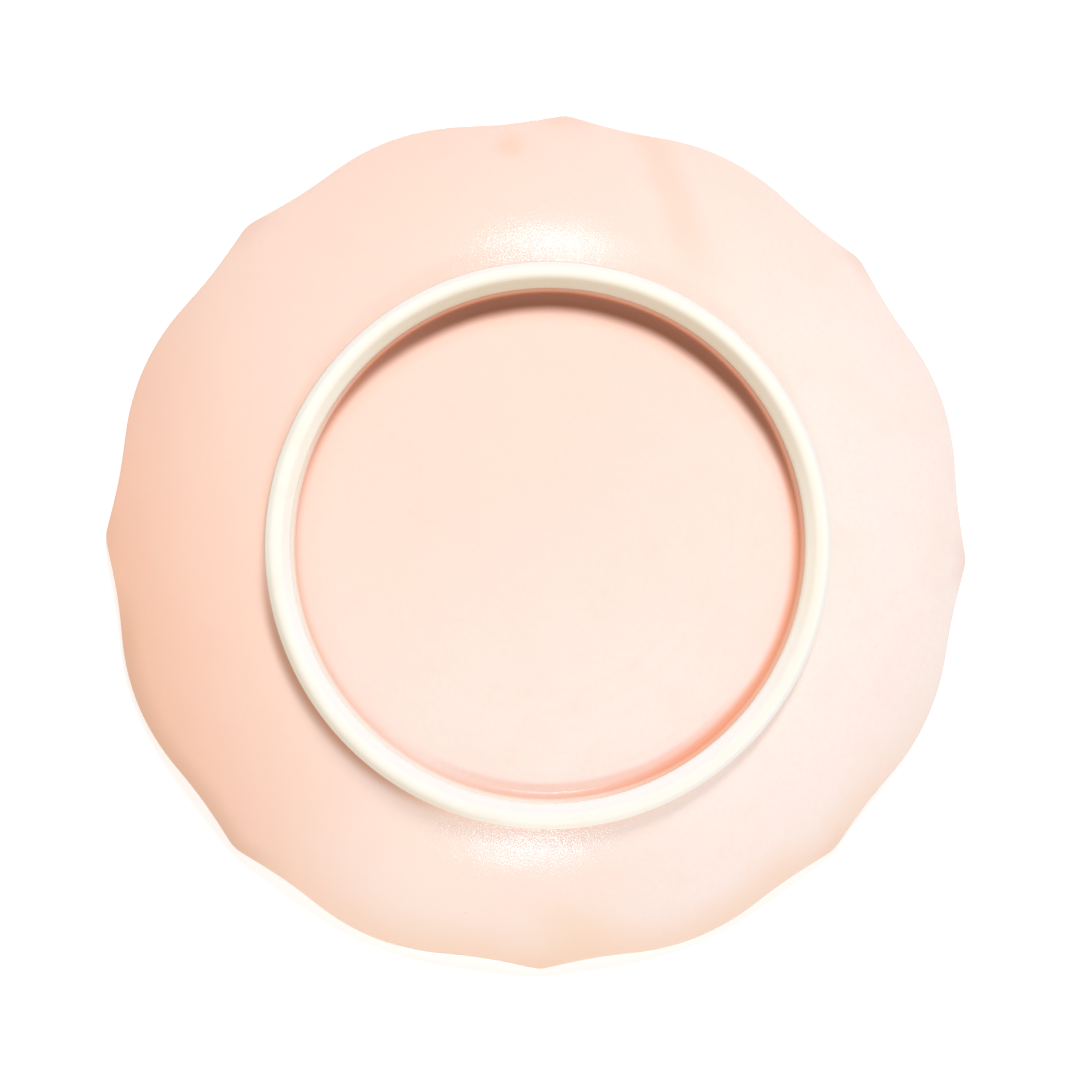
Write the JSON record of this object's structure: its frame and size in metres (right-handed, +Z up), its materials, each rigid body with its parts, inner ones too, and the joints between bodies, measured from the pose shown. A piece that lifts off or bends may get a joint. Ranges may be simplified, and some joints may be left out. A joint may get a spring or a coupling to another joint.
{
  "type": "scalloped dessert plate",
  "caption": "Shallow round dessert plate with a scalloped, softly pointed rim, a flat well, a satin pink glaze and a bare turned foot ring that it stands on.",
  "frame": {"origin": "centre of the plane that the foot ring stands on", "axes": "+Z up out of the face along the plate's axis, +X through one point of the rim"},
  "size_m": [0.21, 0.21, 0.027],
  "materials": {
    "clay": "fired cream clay, under the glaze",
    "bare_foot": "fired cream clay, bare and rubbed smooth",
    "glaze": "satin pale pink glaze",
    "base_glaze": "satin pale pink glaze, pooled along the foot"
  },
  "bodies": {
    "root": {"clay_body": "clay", "foot_ring": "bare_foot", "glaze_coat": "glaze", "base_glaze": "base_glaze"}
  },
  "joints": []
}
